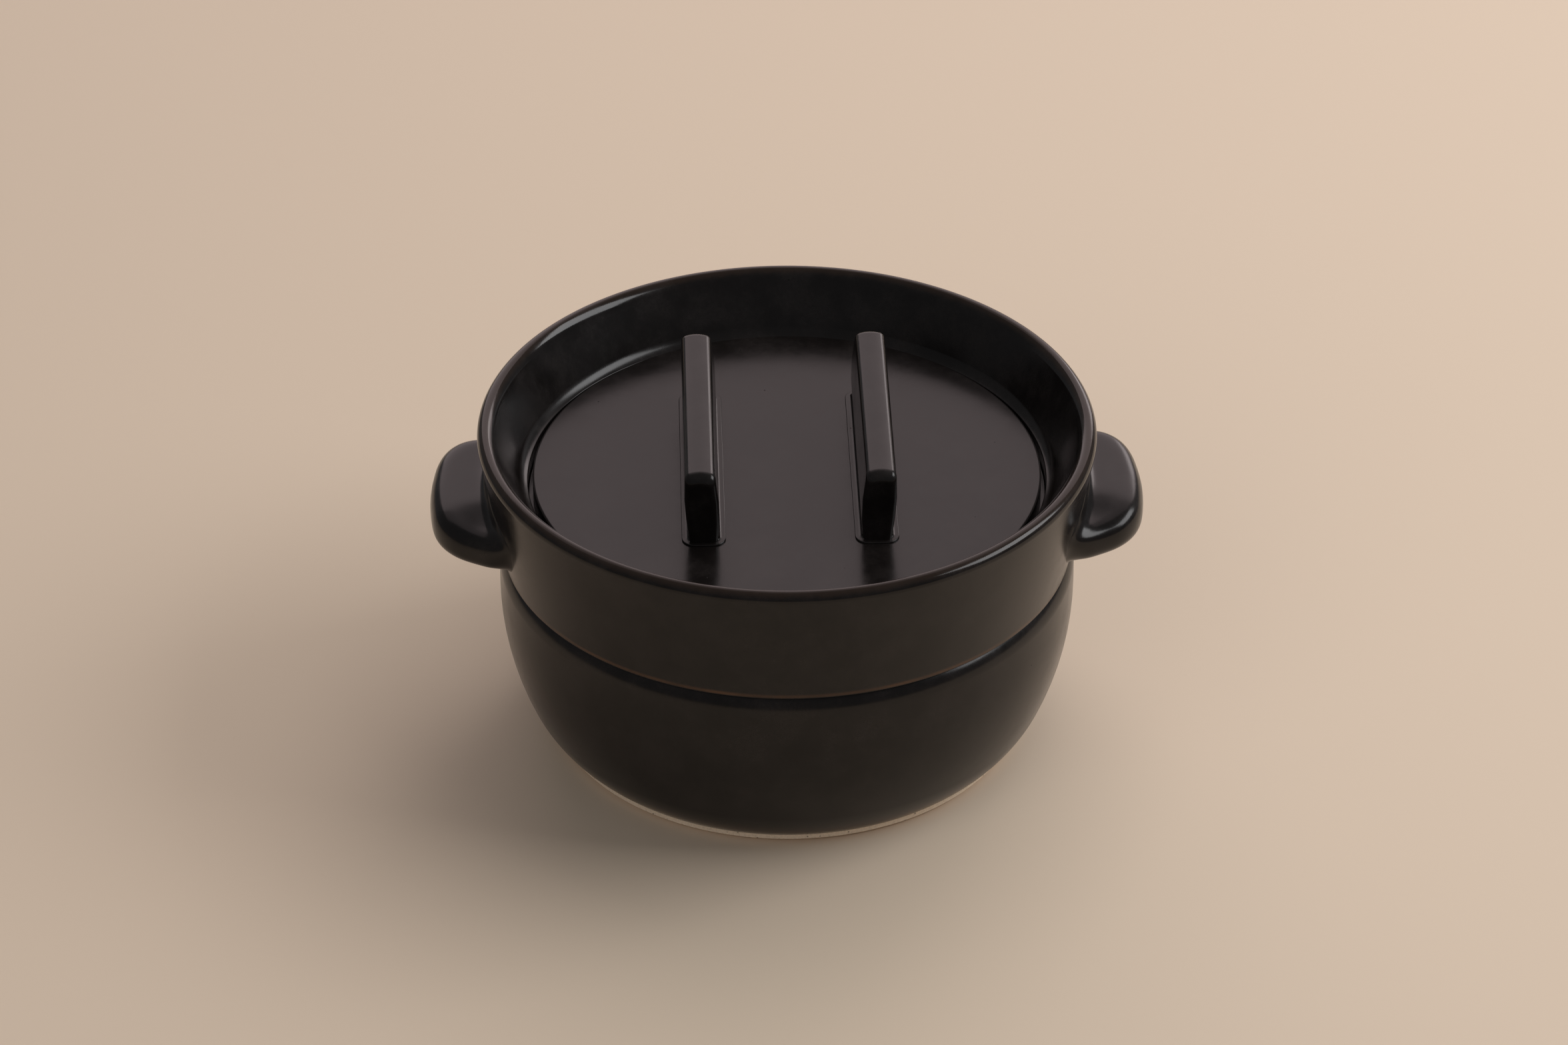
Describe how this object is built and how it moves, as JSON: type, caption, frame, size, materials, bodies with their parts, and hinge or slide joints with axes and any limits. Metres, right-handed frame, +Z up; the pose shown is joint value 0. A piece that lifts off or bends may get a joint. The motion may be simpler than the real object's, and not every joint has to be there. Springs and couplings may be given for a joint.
{
  "type": "donabe clay pot",
  "caption": "Round clay rice pot in black glaze, with a flared collar, side ears, a disc lid with bar grips sunk inside the rim, and a knobbed inner lid below it.",
  "frame": {"origin": "middle of the foot, on the surface that the pot stands on", "axes": "+Z up along the axis of the bowl, +X towards the right ear, +Y away from the viewer along the bar grips"},
  "size_m": [0.2206, 0.19, 0.1127],
  "materials": {
    "black_glaze": "satin-gloss black glaze",
    "bare_clay": "bare fired clay"
  },
  "bodies": {
    "pot": {"pot_body": "black_glaze", "foot_ring": "bare_clay", "left_ear": "black_glaze", "right_ear": "black_glaze"},
    "inner_lid": {"inner_lid": "black_glaze", "inner_lid_knob": "black_glaze"},
    "outer_lid": {"outer_lid": "black_glaze", "left_lid_bar": "black_glaze", "right_lid_bar": "black_glaze"}
  },
  "joints": [
    {"name": "inner_lid_lift", "type": "slide", "parent": "pot", "child": "inner_lid", "axis": [0, 0, 1], "range_m": [0, 0.08]},
    {"name": "outer_lid_lift", "type": "slide", "parent": "inner_lid", "child": "outer_lid", "axis": [0, 0, 1], "range_m": [0, 0.08]}
  ]
}
